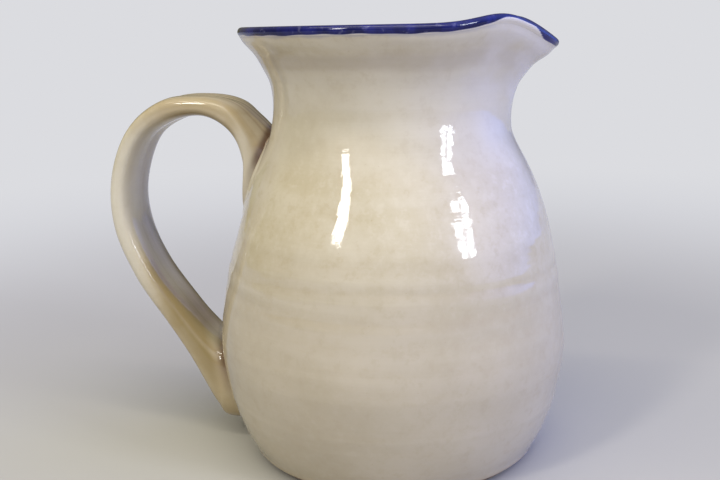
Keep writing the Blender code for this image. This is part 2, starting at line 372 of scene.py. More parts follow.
SIDEWAYS = np.array([90.0])
FLOOR_LEVEL = float(floor_corner(SIDEWAYS, 1.0)[0, 2])
FLOOR_EDGE = float(np.hypot(*floor_corner(SIDEWAYS, 1.0)[0, :2]))


# ================================================================ mesh builders


def body_from_rings(name, rings, poles=None):
    """Closed body over rings of points, capped at two poles or joined from its last ring to its first."""
    rings = np.asarray(rings)
    count, columns = rings.shape[:2]
    points = rings.reshape(-1, 3)
    rows = np.arange(count if poles is None else count - 1)[:, None]
    here = np.arange(columns)[None, :]
    after = (here + 1) % columns
    low = rows * columns
    high = ((rows + 1) % count) * columns
    quads = np.stack([low + here, low + after, high + after, high + here], axis=-1).reshape(-1, 4)
    faces = quads.tolist()
    if poles is not None:
        first_pole = len(points)
        points = np.concatenate([points, np.asarray(poles)])
        top = (count - 1) * columns
        for k in range(columns):
            following = (k + 1) % columns
            faces.append((following, k, first_pole))
            faces.append((top + k, top + following, first_pole + 1))
    mesh = bpy.data.meshes.new(name)
    mesh.from_pydata((points * MM).tolist(), [], faces)
    mesh.validate()
    mesh.shade_smooth()
    piece = bpy.data.objects.new(name, mesh)
    bpy.context.scene.collection.objects.link(piece)
    face_outwards(mesh)
    return piece


def face_outwards(mesh):
    """Turns the faces round if the mesh encloses a negative volume."""
    mesh.calc_loop_triangles()
    corners = np.empty(len(mesh.loop_triangles) * 3, dtype=np.int32)
    mesh.loop_triangles.foreach_get("vertices", corners)
    points = np.empty(len(mesh.vertices) * 3)
    mesh.vertices.foreach_get("co", points)
    a, b, c = points.reshape(-1, 3)[corners.reshape(-1, 3)].transpose(1, 0, 2)
    if np.einsum("ij,ij->", a, np.cross(b, c)) < 0:
        mesh.flip_normals()


def point_values(piece, name, values):
    """Stores one number for each vertex, for the materials to read."""
    data = np.zeros(len(piece.data.vertices), dtype=np.float32)
    values = np.asarray(values, dtype=np.float32).ravel()
    data[: len(values)] = values
    attribute = piece.data.attributes.new(name, "FLOAT", "POINT")
    attribute.data.foreach_set("value", data)


def place(piece, node):
    """Fixes the piece to the pitcher's only body, in the place of a node of the frame."""
    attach(piece, "root")
    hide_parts(node)


# ================================================================ the pot


def columns():
    """Turns of the mesh columns around the pot."""
    return np.linspace(-180.0, 180.0, COLUMNS, endpoint=False)


def level(height):
    """One height for every column."""
    return np.full(COLUMNS, height)


def wiped_share(turn):
    """How far the blue is wiped off the lip: fully on both sides of the spout's tip, elsewhere not."""
    side = np.abs(turn)
    return fade(side, WIPED_FROM, WIPED_FROM + WIPED_EDGE) * fade(WIPED_TO - side, 0.0, WIPED_EDGE)


def coat_start(turn):
    """Where the blue begins on the lip's roll, in degrees: low all round, but wiped thin beside the spout."""
    angle = np.radians(turn)
    ragged = 4.0 * np.sin(7 * angle + 1.0) + 3.0 * np.sin(17 * angle + 2.0) + 3.0 * np.sin(31 * angle)
    return COAT_START + ragged + WIPED * wiped_share(turn)


def make_pot_glaze():
    """The outer coat: marked outside, rolled edge above the foot, and a plain inner face."""
    turn = columns()
    deepest = GLAZE_EDGE_SINKS[0]
    edge = [
        outside(turn, GLAZE_START + 0.02 * row + GLAZE_EDGE_HEIGHT * (1 - sink / deepest), sink)
        for row, sink in enumerate(GLAZE_EDGE_SINKS)
    ]
    top = RIM_HEIGHT - 0.02
    heights = np.linspace(GLAZE_START + 0.9, top, WALL_ROWS)
    swell = GLAZE_BEAD * bump(heights - GLAZE_START - GLAZE_BEAD_ABOVE, GLAZE_BEAD_WIDTH)
    wall = [outside(turn, level(h), -s) for h, s in zip(heights, swell)]
    hidden = np.linspace(top, GLAZE_START + 0.3, HIDDEN_ROWS)
    back = [outside(turn, level(h), HIDDEN_FACE, 0.0) for h in hidden]
    piece = body_from_rings("pot_glaze", edge + wall + back)
    shown = np.concatenate([np.full(len(edge), GLAZE_START), heights])
    point_values(piece, "ridge", [ridges(turn, level(h)) for h in shown])
    point_values(piece, "below_lip", [level(RIM_HEIGHT - h) for h in shown])
    point_values(piece, "wiped", np.tile(wiped_share(turn), len(shown)))
    point_values(piece, "by_spout", np.tile(bump(turn, SPOUT_GLAZE_WIDTH), len(shown)))
    place(piece, "body_glaze")
    return piece


def make_rim_band():
    """Cobalt coat over the lip; its lower edge melts into the cream."""
    turn = columns()
    skirt = [outside(turn, level(RIM_HEIGHT - BAND_OVERLAP * share), sink) for share, sink in BAND_SKIRT]
    rolls = np.linspace(0.0, 180.0, LIP_ROLLS + 1)[1:]
    cap = [lip(turn, roll) for roll in rolls]
    inner_heights = np.linspace(RIM_HEIGHT - 0.6, RIM_HEIGHT - BAND_INSIDE, BAND_INNER_ROWS)
    inner = [inside(turn, level(h)) for h in inner_heights]
    back = [inside(turn, level(h), GLAZE, 0.0) for h in inner_heights[::-1]]
    back += [lip(turn, roll, GLAZE) for roll in rolls[::-4]]
    piece = body_from_rings("rim_glaze", skirt + cap + inner + back)
    below = -np.degrees(BAND_OVERLAP / LIP_RADIUS) * np.array([share for share, _ in BAND_SKIRT])
    beyond = 180.0 + np.linspace(10.0, 140.0, len(inner))
    position = np.concatenate([below, rolls, beyond])
    start = coat_start(turn)
    point_values(piece, "coat", [fade(at - start, -COAT_EDGE, COAT_EDGE) for at in position])
    point_values(piece, "roll", np.repeat(position / 180.0, COLUMNS))
    place(piece, "rim_band")
    return piece


def floor_rings(radii, depth):
    """Rings of the inner floor with the potter's finger spiral."""
    turn = columns()
    angle = np.radians(turn)
    rings = []
    for radius in radii:
        phase = 2 * np.pi * (radius / LINER_SPIRAL_PITCH - turn / 360.0)
        size = LINER_SPIRAL_SIZE * fade(radius, 2.0, 12.0) * fade(FLOOR_EDGE - radius, 0.0, 6.0)
        height = FLOOR_LEVEL - depth + size * np.sin(phase) * (1.0 if depth == 0.0 else 0.0)
        rings.append(np.stack([radius * np.cos(angle), radius * np.sin(angle), height], axis=-1))
    return rings


def make_liner():
    """The inner coat, with a spiral up the wall and over the floor."""
    turn = columns()
    floor_radii = np.linspace(INNERMOST_RING, FLOOR_EDGE - 1.0, FLOOR_ROWS)
    shares = np.linspace(1.0, 0.0, CORNER_ROWS)
    heights = np.linspace(FLOOR_CORNER_START + 0.8, RIM_HEIGHT - BAND_INSIDE + 0.1, LINER_ROWS)
    front = floor_rings(floor_radii, 0.0)
    front += [floor_corner(turn, share) for share in shares]
    front += [inside(turn, level(h)) for h in heights]
    back = floor_rings(floor_radii[::6], GLAZE)
    back += [floor_corner(turn, share, GLAZE) for share in shares[::3]]
    back += [inside(turn, level(h), GLAZE, 0.0) for h in heights[::12]]
    poles = ((0.0, 0.0, FLOOR_LEVEL - GLAZE), (0.0, 0.0, FLOOR_LEVEL))
    piece = body_from_rings("liner", back + front[::-1], poles)
    place(piece, "liner_glaze")
    return piece


def make_clay():
    """The thrown clay, bare at the foot and underneath, where the cutting wire left its arcs."""
    turn = columns()
    angle = np.radians(turn)
    foot = float(np.hypot(*outside(SIDEWAYS, np.array([0.0]), CLAY_DEPTH, 0.0)[0, :2]))
    under = []
    for radius in np.linspace(INNERMOST_RING, foot - FOOT_BEVEL, UNDER_ROWS):
        x = radius * np.cos(angle)
        y = radius * np.sin(angle)
        arcs = np.hypot(x - WIRE_MARK_CENTRE[0], y - WIRE_MARK_CENTRE[1]) / WIRE_MARK_PITCH
        mark = WIRE_MARK_SIZE * (0.5 + 0.5 * np.sin(2 * np.pi * arcs)) * fade(foot - radius, 1.5, 5.0)
        under.append(np.stack([x, y, mark], axis=-1))
    bevel = [
        outside(turn, level(FOOT_BEVEL * s), CLAY_DEPTH + 0.5 * (1 - s) ** 2, 0.6)
        for s in (0.35, 0.7, 1.0)
    ]
    heights = np.linspace(FOOT_BEVEL + 0.4, RIM_HEIGHT, CLAY_ROWS)
    wall = [outside(turn, level(h), CLAY_DEPTH, 0.0) for h in heights]
    cap = [lip(turn, roll, CLAY_DEPTH) for roll in np.linspace(20.0, 160.0, 8)]
    inner_heights = np.linspace(RIM_HEIGHT, FLOOR_CORNER_START, CLAY_INSIDE_ROWS)
    inner = [inside(turn, level(h), CLAY_DEPTH, 0.0) for h in inner_heights]
    corner = [floor_corner(turn, share, CLAY_DEPTH) for share in np.linspace(0.1, 1.0, 5)]
    poles = ((0.0, 0.0, WIRE_MARK_SIZE / 2), (0.0, 0.0, FLOOR_LEVEL - CLAY_DEPTH))
    piece = body_from_rings("thrown_clay", under + bevel + wall + cap + inner + corner, poles)
    place(piece, "clay_body")
    return piece


# ================================================================ the strap


def strap_section(around):
    """Rounded-rectangle outline of the strap: shares of its half width and half thickness."""
    c = np.cos(around)
    s = np.sin(around)
    power = 2 / STRAP_CORNER_POWER
    return np.sign(c) * np.abs(c) ** power, np.sign(s) * np.abs(s) ** power


def section_angles():
    """Angles that divide the strap's outline evenly."""
    fine = np.linspace(0.0, 2 * np.pi, FINE_ANGLES)
    wide, thick = strap_section(fine)
    steps = np.hypot(np.diff(wide) * STRAP_HALF_WIDTH, np.diff(thick) * STRAP_HALF_THICKNESS)
    length = np.concatenate([[0.0], np.cumsum(steps)])
    return np.interp(np.linspace(0.0, length[-1], STRAP_SIDES, endpoint=False), length, fine)


def strap_ripple(wide, share):
    """Fine lines along the strap from the pulling hand, between -1 and 1."""
    waves = sum(
        part * np.cos(wide * lines + drift * share + phase)
        for part, lines, drift, phase in PULLING_LINES
    )
    return waves * (1 - wide**2)


def strap_points(share, around, grow=0.0):
    """Points of the strap at shares of its length and angles around its section."""
    share, around = np.broadcast_arrays(share, around)
    knots = np.arange(len(STRAP_SECTIONS))
    at = share * (len(STRAP_SECTIONS) - 1)
    outer_x, outer_z, inner_x, inner_z, half_width = (
        smooth_curve(knots, values, at) for values in zip(*STRAP_SECTIONS)
    )
    across = np.stack([outer_x - inner_x, outer_z - inner_z], axis=-1) / 2
    half_thick = np.linalg.norm(across, axis=-1)
    across /= half_thick[..., None]
    wide, thick = strap_section(around)
    outer_side = 0.5 + 0.5 * np.sin(around)
    line_depth = LINE_DEPTH_INSIDE + (LINE_DEPTH_OUTSIDE - LINE_DEPTH_INSIDE) * outer_side
    groove = STRAP_GROOVE * (INNER_GROOVE_SHARE + (1 - INNER_GROOVE_SHARE) * outer_side)
    groove = groove * bump(wide, STRAP_GROOVE_WIDTH) + line_depth * strap_ripple(wide, share)
    unevenness = STRAP_UNEVEN * np.sin(at * 1.7 + 0.7) * np.cos(around + 1.0)
    unevenness += STRAP_UNEVEN_FINE * np.sin(at * 4.3 + 2 * around)
    crown = STRAP_CROWN * fade(STRAP_CROWN_END - share, 0.0, STRAP_CROWN_LENGTH)
    reach = thick * (half_thick + grow + unevenness - groove) - crown * wide**2 * np.maximum(thick, 0.0)
    x = (outer_x + inner_x) / 2 + across[..., 0] * reach
    z = (outer_z + inner_z) / 2 + across[..., 1] * reach
    y = wide * (half_width + grow + unevenness)
    return np.stack([x, y, z], axis=-1)


def turn_and_height(points):
    """The pot's own coordinates below or above a point on the handle's side, where the rows are level."""
    return np.degrees(np.arctan2(points[..., 1], points[..., 0])), points[..., 2]


def clearance(points):
    """Distance in mm from the pot's marked outside, negative inside it."""
    turn, height = turn_and_height(points)
    skin = outside(turn, height)
    out, _ = directions(turn, height)
    beyond = np.hypot(points[..., 0], points[..., 1]) - np.hypot(skin[..., 0], skin[..., 1])
    return beyond * np.hypot(out[..., 0], out[..., 1])


def crossing(around, distance, end):
    """Share of the strap's length at which each line along it comes to a distance from the pot."""
    shares = np.linspace(*SEAM_SEARCH[end], SEAM_SEARCH_STEPS)
    gaps = clearance(strap_points(shares[:, None], around[None, :]))
    found = []
    for line in range(len(around)):
        below = np.nonzero(gaps[:, line] < distance[line])[0]
        k = min(below[-1], len(shares) - 2)
        low = gaps[k, line]
        high = gaps[k + 1, line]
        part = np.clip((distance[line] - low) / (high - low), 0.0, 1.0)
        found.append(shares[k] + part * (shares[k + 1] - shares[k]))
    return np.array(found)


def dot(a, b):
    """Dot products of two lists of vectors, as a column."""
    return np.einsum("ij,ij->i", a, b)[:, None]


def spread_directions(share, around):
    """Unit vectors along the wall, away from the strap, at the points where the strap meets it."""
    step = 1e-3
    meeting = strap_points(share, around)
    sideways = strap_points(share, around + step) - strap_points(share, around - step)
    along = strap_points(share + step, around) - strap_points(share - step, around)
    normal = unit(np.cross(sideways, along))
    normal *= np.sign(dot(normal, meeting - meeting.mean(axis=0)))
    out, _ = directions(*turn_and_height(meeting))
    return unit(normal - out * dot(normal, out))


def seam(around, end, pad, widest):
    """Rows where the strap meets the wall: a crease, then a smeared pad that thins out over the wall."""
    reach, more_reach, height, more_height = pad
    pad_reach = reach + more_reach * widest
    pad_height = height + more_height * widest
    start = crossing(around, np.full(len(around), SEAM_START), end)
    stop = crossing(around, np.zeros(len(around)), end)
    rows = [strap_points(start + (stop - start) * t, around) for t in SEAM_LAST_ROWS]
    meeting = strap_points(stop, around)
    spread = spread_directions(stop, around)
    for q in SEAM_SHARES:
        raised = pad_height * fade(q, 0.0, 0.25) * fade(1 - q, 0.0, 0.9)
        depth = SEAM_CREASE * (1 - q) ** 8 + SEAM_EDGE_SINK * q * q - raised
        rows.append(outside(*turn_and_height(meeting + spread * (pad_reach * q)[:, None]), depth))
    return rows, start, stop


def make_strap():
    """Glazed strap whose ends are pressed and smeared on to the wall."""
    around = section_angles()
    sides = np.abs(np.cos(around))
    inner = 0.5 - 0.5 * np.sin(around)
    top_rows, top_start, top_end = seam(around, "upper", UPPER_PAD, sides)
    low_rows, low_start, low_end = seam(around, "lower", LOWER_PAD, inner)
    shares = np.linspace(0.0, 1.0, STRAP_ROWS)
    main_share = top_start + (low_start - top_start) * shares[:, None]
    main = strap_points(main_share, around[None, :])
    hidden = top_end + (low_end - top_end) * np.linspace(1.0, 0.0, STRAP_HIDDEN_ROWS)[:, None]
    back = list(strap_points(hidden, around[None, :], -GLAZE))
    piece = body_from_rings("strap", top_rows[::-1] + list(main) + low_rows + back)
    count = len(top_rows)
    shown = count + STRAP_ROWS + count
    point_values(piece, "outer", np.tile(np.sin(around), shown))
    along = np.concatenate([np.full(count, top_start.mean()), main_share.mean(axis=1),
                            np.full(count, low_start.mean())])
    point_values(piece, "along", np.repeat(along, STRAP_SIDES))
    seam_tone = np.repeat(SEAM_TONE, STRAP_SIDES)
    reach = BROWN_AND_SHADE_ABOVE + (BROWN_AND_SHADE_BELOW - BROWN_AND_SHADE_ABOVE) * (shares[:, None] > 0.5)
    brown_and_shade = CREASE_BROWN_AND_SHADE * bump(clearance(main) - SEAM_START, reach).ravel()
    point_values(piece, "crease", np.concatenate([seam_tone[::-1], brown_and_shade, seam_tone]))
    rows = np.concatenate([np.full(count, 0.0), main_share.mean(axis=1), np.full(count, 1.0)])
    wide, _ = strap_section(around)
    point_values(piece, "ripple", strap_ripple(wide[None, :], rows[:, None]))
    place(piece, "handle_glaze")
    return piece


def make_strap_clay():
    """The clay under the strap's glaze, with both ends sunk into the wall."""
    around = section_angles()[::STRAP_CLAY_SKIP]
    sunk = np.full(len(around), -STRAP_SUNK)
    start = crossing(around, sunk, "upper")
    end = crossing(around, sunk, "lower")
    shares = np.linspace(0.0, 1.0, STRAP_CLAY_ROWS)[:, None]
    rings = strap_points(start + (end - start) * shares, around[None, :], -CLAY_DEPTH)
    piece = body_from_rings("strap_clay", rings, (rings[0].mean(axis=0), rings[-1].mean(axis=0)))
    place(piece, "handle")
    return piece


# ================================================================ materials


class Nodes:
    """A few calls that keep node trees short to write."""

    def __init__(self, owner):
        owner.use_nodes = True
        self.owner = owner
        self.tree = owner.node_tree
        self.shader = self.tree.nodes.get("Principled BSDF") or self.tree.nodes["Background"]

    def add(self, kind, **inputs):
        node = self.tree.nodes.new(kind)
        for key, value in inputs.items():
            self.feed(node.inputs[key.replace("_", " ")], value)
        return node

    def feed(self, socket, value):
        if isinstance(value, bpy.types.NodeSocket):
            self.tree.links.new(value, socket)
        else:
            socket.default_value = value

    def value(self, attribute):
        node = self.tree.nodes.new("ShaderNodeAttribute")
        node.attribute_name = attribute
        return node.outputs["Fac"]

    def camera_ray(self):
        return self.tree.nodes.new("ShaderNodeLightPath").outputs["Is Camera Ray"]

    def math(self, operation, a, b=0.0, c=0.0, clamp=False):
        node = self.tree.nodes.new("ShaderNodeMath")
        node.operation = operation
        node.use_clamp = clamp
        for socket, value in zip(node.inputs, (a, b, c)):
            self.feed(socket, value)
        return node.outputs[0]

    def times(self, *factors):
        total = factors[0]
        for factor in factors[1:]:
            total = self.math("MULTIPLY", total, factor)
        return total

    def vector_math(self, operation, a, b):
        node = self.tree.nodes.new("ShaderNodeVectorMath")
        node.operation = operation
        self.feed(node.inputs[0], a)
        self.feed(node.inputs[1], b)
        return node

    def stretch(self, scale):
        """Object coordinates in metres, scaled by axis."""
        where = self.tree.nodes.new("ShaderNodeTexCoord")
        mapping = self.add("ShaderNodeMapping", Vector=where.outputs["Object"], Scale=scale)
        return mapping.outputs[0]

    def noise(self, scale, detail, stretch=(1.0, 1.0, 1.0), roughness=0.5):
        where = self.stretch(stretch)
        node = self.add(
            "ShaderNodeTexNoise", Vector=where, Scale=scale, Detail=detail, Roughness=roughness
        )
        return node.outputs["Fac"]

    def ramp(self, value, low, high, start=0.0, end=1.0):
        """Smooth step from start to end as the value goes from low to high; low may be the larger."""
        node = self.tree.nodes.new("ShaderNodeMapRange")
        node.interpolation_type = "SMOOTHSTEP"
        numbers = {"Value": value, "From Min": low, "From Max": high, "To Min": start, "To Max": end}
        for key, number in numbers.items():
            self.feed(node.inputs[key], number)
        return node.outputs[0]

    def zone(self, value, rise, fall):
        """1 between two soft edges, given as the ranges over which it rises and falls."""
        return self.times(self.ramp(value, *rise), self.ramp(value, *fall))

    def mix(self, factor, a, b, blend="MIX"):
        node = self.tree.nodes.new("ShaderNodeMix")
        node.data_type = "RGBA"
        node.blend_type = blend
        self.feed(node.inputs[0], factor)
        self.feed(node.inputs[6], colour(a))
        self.feed(node.inputs[7], colour(b))
        return node.outputs[2]

    def over(self, tone, colour_over, *factors):
        """Lays one colour over another, as strongly as the product of the factors."""
        return self.mix(self.times(*factors), tone, colour_over)

    def bumps(self, *layers):
        """Chain of bump nodes: (height, distance in metres, strength)."""
        normal = None
        for height, distance, strength in layers:
            node = self.add("ShaderNodeBump", Height=height, Distance=distance, Strength=strength)
            if normal is not None:
                self.feed(node.inputs["Normal"], normal)
            normal = node.outputs[0]
        return normal

    def set(self, **inputs):
        for key, value in inputs.items():
            self.feed(self.shader.inputs[key.replace("_", " ")], value)
        return self.owner


def glaze_tree(name):
    """A new material with its nodes."""
    return Nodes(bpy.data.materials.new(name))


def colour(value):
    """Adds the fourth number that a colour socket needs."""
    if isinstance(value, tuple) and len(value) == 3:
        return (*value, 1.0)
    return value


CREAM = (0.520, 0.455, 0.325)
PALE_CREAM = (0.610, 0.550, 0.438)
WARM_CREAM = (0.455, 0.375, 0.245)
# Painted shade for the pot's lower belly and under its rim.
SHADED_CREAM = (0.410, 0.352, 0.275)
# A painted pale bluish reflection round the spout and on the bare lip beside it.
SPOUT_REFLECTION_CREAM = (0.640, 0.595, 0.590)
TAN = (0.380, 0.265, 0.150)
GOLDEN = (0.400, 0.300, 0.155)
# Deep gold of the glaze, also laid on as painted shade.
DEEP_GOLD_AND_SHADE = (0.240, 0.175, 0.065)
ROSE_GREY = (0.345, 0.265, 0.165)
PULLED_BROWN = (0.215, 0.150, 0.110)
# Painted cool light and painted shade for the strap.
COOL_LIT_CREAM = (0.620, 0.575, 0.480)
SHADED_STRAP_CREAM = (0.360, 0.315, 0.195)
# Brown of glaze pooled in the strap's creases, darkened further as painted shade.
POOLED_BROWN_AND_SHADE = (0.085, 0.035, 0.018)
COBALT = (0.004, 0.005, 0.060)
COBALT_THIN = (0.013, 0.015, 0.135)
BLUE_VEIL = (0.190, 0.190, 0.330)
CLAY = (0.260, 0.150, 0.085)
DARK_CLAY = (0.190, 0.105, 0.060)
SLIP = (0.400, 0.290, 0.190)
DARK_SLIP = (0.330, 0.230, 0.150)
GRIT = (0.100, 0.055, 0.030)
BLACK = (0.0, 0.0, 0.0)

GLAZE_IOR = 1.52
COBALT_IOR = 1.40

# Heights on the pot, in mm below the lip: ranges over which a tone comes in, or comes in and goes out.
LOWER_BELLY_SHADE = (70.0, 115.0)
UNDER_RIM_SHADE = ((6.5, 10.0), (16.0, 12.0))
WAIST = ((14.0, 18.0), (60.0, 45.0))
SPOUT_DEPTH = (45.0, 12.0)
NEAR_FOOT = (176.0, 180.5)

# Places along the strap, as shares of its length from the neck to the belly.
STRAP_ROOT_LIT = (0.20, 0.13)
STRAP_ARCH = ((0.14, 0.20), (0.36, 0.30))
STRAP_BEND = ((0.31, 0.43), (0.66, 0.56))
STRAP_BEND_LIT = ((0.33, 0.43), (0.64, 0.54))
STRAP_LOWER = ((0.59, 0.67), (0.85, 0.78))
STRAP_BY_JOINT = (0.68, 0.75)
STRAP_HALFWAY = (0.45, 0.55)
STRAP_INNER_SHADING = (0.46, 0.62)


def cream_colour(n, ridge=None):
    """Mottled cream: slow patches, fine level streaks from the throwing, and thin tan where it broke."""
    patches = n.ramp(n.noise(22.0, 4.0), 0.35, 0.68)
    tone = n.mix(patches, CREAM, PALE_CREAM)
    streaks = n.ramp(n.noise(30.0, 4.0, (0.35, 0.35, 7.0), 0.6), 0.38, 0.72)
    tone = n.over(tone, WARM_CREAM, streaks, 0.18)
    if ridge is not None:
        # Paler on the ridges and warmer in the grooves: partly the glaze's thickness, partly painted light
        # and shade of the rings.
        tone = n.over(tone, WARM_CREAM, n.ramp(ridge, -0.13, 0.16, 1.0, 0.0), 0.22)
        tone = n.over(tone, PALE_CREAM, n.ramp(ridge, 0.03, 0.16), 0.30)
    mottle = n.noise(190.0, 4.0, roughness=0.65)
    tone = n.over(tone, PALE_CREAM, n.ramp(mottle, 0.50, 0.68), 0.40)
    tone = n.over(tone, WARM_CREAM, n.ramp(mottle, 0.50, 0.32), 0.40)
    specks = n.ramp(n.noise(900.0, 1.0), 0.76, 0.80)
    return n.over(tone, TAN, specks, 0.35)


def glaze_normal(n):
    """Orange peel and fine throwing lines under the gloss."""
    lines = n.noise(60.0, 3.0, (0.15, 0.15, 9.0))
    peel = n.noise(320.0, 2.0)
    return n.bumps((lines, 0.0004, 0.12), (peel, 0.0002, 0.20))


def gloss(n, low=0.03, high=0.07):
    """Roughness of the glaze, a little uneven."""
    return n.ramp(n.noise(45.0, 3.0), 0.3, 0.7, low, high)


def glazed(n, tone, low=0.03, high=0.07):
    """Finishes a glossy glaze material around its colour."""
    return n.set(Base_Color=tone, Roughness=gloss(n, low, high), Normal=glaze_normal(n), IOR=GLAZE_IOR)


def pot_glaze_material():
    """Cream, bluish below the lip, with a painted pale bluish reflection round the spout, painted shade under
    the rim and over the lower belly, painted light over the waist, tan close to the foot.
    """
    n = glaze_tree("cream_pot_glaze")
    below = n.value("below_lip")
    tone = cream_colour(n, n.value("ridge"))
    veil_noise = n.noise(120.0, 2.0, (1.0, 1.0, 0.4))
    reach = n.math("MULTIPLY_ADD", veil_noise, 2.6, 0.4)
    veil = n.math("SUBTRACT", 1.0, n.math("DIVIDE", below, reach, clamp=True), clamp=True)
    tone = n.over(tone, BLUE_VEIL, veil, n.ramp(n.value("wiped"), 0.7, 0.2, 0.1, 0.75))
    # Painted shade: darker cream over the lower belly and in a band under the rim.
    tone = n.over(tone, SHADED_CREAM, n.ramp(below, *LOWER_BELLY_SHADE), 0.55)
    tone = n.over(tone, SHADED_CREAM, n.zone(below, *UNDER_RIM_SHADE), 0.65)
    # Painted light: paler cream over the waist.
    tone = n.over(tone, PALE_CREAM, n.zone(below, *WAIST), 0.35)
    # Painted reflection: pale bluish cream round the spout, in patches.
    patchy_reflection = n.ramp(n.noise(55.0, 3.0), 0.30, 0.62, 0.45, 1.0)
    tone = n.over(tone, SPOUT_REFLECTION_CREAM, n.value("by_spout"), n.ramp(below, *SPOUT_DEPTH), patchy_reflection)
    tone = n.over(tone, TAN, n.ramp(below, *NEAR_FOOT), 0.5)
    return glazed(n, tone)


def creased(n, tone, outer, along):
    """Brown pooled glaze and painted shade in the crease where the strap meets the wall, and a pale pad
    beyond it.
    """
    crease = n.value("crease")
    tone = n.mix(n.ramp(crease, 0.0, -1.0), tone, PALE_CREAM)
    facing = n.times(outer, n.ramp(along, *STRAP_HALFWAY, 1.0, -1.0))
    # Pooled brown with painted shade: strongest on the outer face at the upper end and on the inner face at
    # the lower end.
    return n.over(tone, POOLED_BROWN_AND_SHADE, n.ramp(crease, 0.0, 1.0), n.ramp(facing, -0.3, 0.5, 0.12, 1.0))


def strap_material():
    """Golden where the glaze broke thin on the strap's sides, paler on its faces, brown in the creases, with
    painted light on the inner face towards the neck, on the sides over the bend and by the neck, and painted
    shade on the inner face towards the belly, under the arch, low on the inner edges and in the creases.
    """
    n = glaze_tree("cream_strap_glaze")
    tone = cream_colour(n)
    outer = n.value("outer")
    along = n.value("along")
    outer_face = n.ramp(outer, 0.5, 0.95)
    sides = n.ramp(n.math("ABSOLUTE", outer), 0.92, 0.60)
    tone = n.over(tone, ROSE_GREY, outer_face, 0.55)
    tone = n.over(tone, PULLED_BROWN, n.ramp(n.value("ripple"), -0.1, 0.6), outer_face, 0.35)
    # Painted light and shade on the inner face: cool lit cream towards the neck, shaded cream towards the
    # belly, where the pot shades it.
    inner = n.mix(n.ramp(along, *STRAP_INNER_SHADING), COOL_LIT_CREAM, SHADED_STRAP_CREAM)
    tone = n.over(tone, inner, n.ramp(outer, -0.6, -0.95), 0.75)
    off_bend = n.math("SUBTRACT", 1.0, n.zone(along, *STRAP_BEND))
    broken = n.ramp(n.noise(60.0, 3.0), 0.25, 0.60, 0.6, 1.0)
    tone = n.over(tone, GOLDEN, sides, off_bend, broken, 0.75)
    # Deep gold low on the strap, darkest towards its inner edges as painted shade.
    faded = n.ramp(outer, -0.99, -0.90, n.ramp(along, *STRAP_BY_JOINT), 1.0)
    inwards = n.times(n.ramp(outer, 0.45, -0.20), faded)
    tone = n.over(tone, DEEP_GOLD_AND_SHADE, n.zone(along, *STRAP_LOWER), inwards, 0.75)
    # Painted shade under the arch.
    under = n.times(n.ramp(outer, 0.0, -0.60), n.ramp(outer, -1.0, -0.93, 0.5, 1.0))
    tone = n.over(tone, DEEP_GOLD_AND_SHADE, n.zone(along, *STRAP_ARCH), under, 0.75)
    # Painted light on the strap's sides over the bend.
    tone = n.over(tone, COOL_LIT_CREAM, n.zone(along, *STRAP_BEND_LIT), sides, 0.6)
    # Painted light: paler cream on the sides and inner face by the neck.
    tone = n.over(tone, PALE_CREAM, n.ramp(along, *STRAP_ROOT_LIT), n.ramp(outer, 0.6, 0.2), 0.7)
    return glazed(n, creased(n, tone, outer, along))


def liner_material():
    n = glaze_tree("cream_liner_glaze")
    return glazed(n, cream_colour(n), 0.04, 0.09)


def cobalt_material():
    """Deep blue, thinner on the crest of the lip, breaking into the cream at its lower edge."""
    n = glaze_tree("cobalt_rim_glaze")
    streaks = n.noise(160.0, 4.0, (1.0, 1.0, 0.5))
    tone = n.mix(n.ramp(streaks, 0.40, 0.70), COBALT, COBALT_THIN)
    tone = n.over(tone, BLUE_VEIL, n.ramp(n.noise(420.0, 3.0), 0.60, 0.75), 0.35)
    tone = n.over(tone, COBALT_THIN, n.zone(n.value("roll"), (0.25, 0.45), (0.75, 0.55)), 0.25)
    coat = n.math("ADD", n.value("coat"), n.math("MULTIPLY_ADD", streaks, 0.5, -0.25))
    tone = n.mix(n.ramp(coat, 0.25, 0.75), BLUE_VEIL, tone)
    # Where the blue is wiped off: bare cream with a painted pale reflection.
    bare = n.mix(0.6, cream_colour(n), SPOUT_REFLECTION_CREAM)
    tone = n.mix(n.ramp(coat, 0.02, 0.40), bare, tone)
    return n.set(Base_Color=tone, Roughness=0.09, Normal=glaze_normal(n), IOR=COBALT_IOR)


def clay_material(name, base, dark):
    """Unglazed fired clay with grit."""
    n = glaze_tree(name)
    grit = n.noise(700.0, 4.0)
    patches = n.ramp(n.noise(60.0, 3.0), 0.3, 0.7)
    tone = n.mix(patches, base, dark)
    tone = n.over(tone, GRIT, n.ramp(grit, 0.55, 0.75), 0.5)
    normal = n.bumps((grit, 0.0004, 0.6), (n.noise(180.0, 3.0), 0.0005, 0.4))
    rough = n.ramp(grit, 0.3, 0.7, 0.75, 0.95)
    return n.set(Base_Color=tone, Roughness=rough, Normal=normal)


# ================================================================ scene

PITCHER_CENTRE = Vector((0.0, 0.0, 0.095))

# The camera stands level with the rim on the pitcher's side, turned a little towards the spout, and
# looks down at the belly.  Metres, degrees and millimetres of lens.
CAMERA_DISTANCE = 0.4054
CAMERA_HEIGHT = 0.184
CAMERA_TURN = 10.0
CAMERA_AIM_LEFT = 1.96
CAMERA_PITCH = 12.68
CAMERA_ROLL = -1.03
CAMERA_LENS = 46.8


